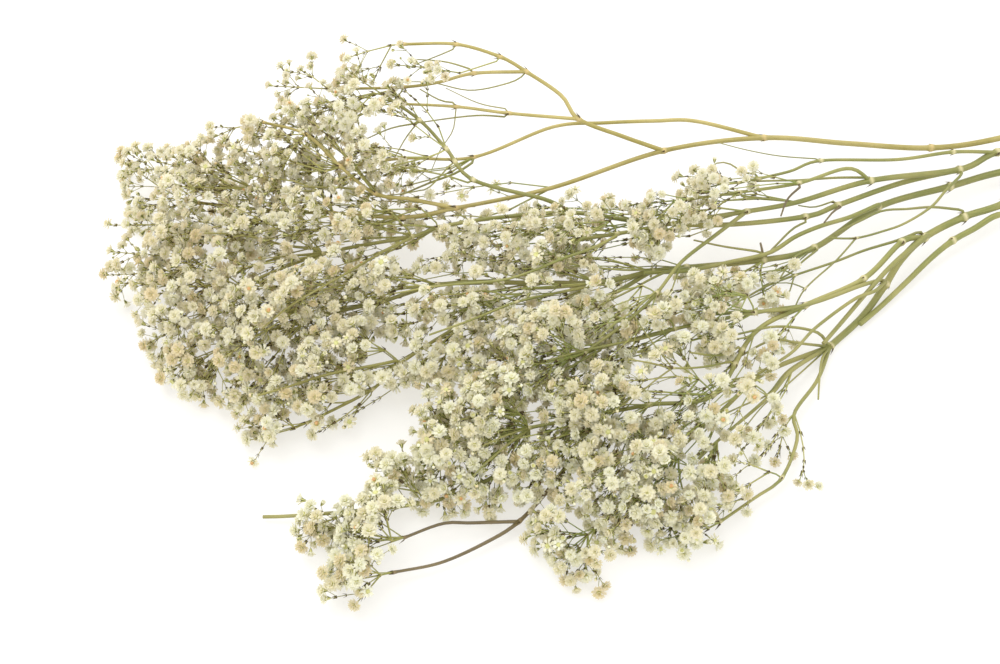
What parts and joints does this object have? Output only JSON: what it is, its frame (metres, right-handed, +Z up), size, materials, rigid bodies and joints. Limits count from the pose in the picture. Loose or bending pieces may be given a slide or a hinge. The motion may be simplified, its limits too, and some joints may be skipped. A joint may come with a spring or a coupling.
{
  "type": "gypsophila stem",
  "caption": "Dried gypsophila stem lying flat: a thin jointed stem forks into limbs that end in wiry sprays of small cream florets.",
  "frame": {"origin": "middle of the bounding box's underside, on the surface that the stem lies on", "axes": "+X runs to the cut end of the main stem and -X to the flowering tips, +Y to the back of the fan of limbs, +Z up from the surface"},
  "size_m": [0.7046, 0.3614, 0.1001],
  "materials": {
    "green_stem": "dry olive green stem, satin, paler at the nodes",
    "straw_stem": "dry straw yellow stem, satin",
    "brown_stem": "dry brown twig, matte",
    "spray": "papery cream petals on thin olive stalks, matte"
  },
  "bodies": {
    "root": {"main_stem": "green_stem", "limb_back": "straw_stem", "limb_upper": "green_stem", "limb_middle": "green_stem", "limb_front": "green_stem", "twig_bare": "green_stem", "twig_brown": "brown_stem", "spray_01": "spray", "spray_02": "spray", "spray_03": "spray", "spray_04": "spray", "spray_05": "spray", "spray_06": "spray", "spray_07": "spray", "spray_08": "spray", "spray_09": "spray", "spray_10": "spray", "spray_11": "spray", "spray_12": "spray", "spray_13": "spray", "spray_14": "spray", "spray_15": "spray", "spray_16": "spray", "spray_17": "spray", "spray_18": "spray", "spray_19": "spray", "spray_20": "spray", "spray_21": "spray", "spray_22": "spray", "spray_23": "spray", "spray_24": "spray", "spray_25": "spray", "spray_26": "spray", "spray_27": "spray", "spray_28": "spray", "spray_29": "spray", "spray_30": "spray", "spray_31": "spray", "spray_32": "spray", "spray_33": "spray", "spray_34": "spray", "spray_35": "spray", "spray_36": "spray", "spray_37": "spray", "spray_38": "spray", "spray_39": "spray", "spray_40": "spray", "spray_41": "spray", "spray_42": "spray", "spray_43": "spray", "spray_44": "spray", "spray_45": "spray", "spray_46": "spray", "spray_47": "spray", "spray_48": "spray", "spray_49": "spray", "spray_50": "spray", "spray_51": "spray", "spray_52": "spray", "spray_53": "spray"}
  },
  "joints": []
}
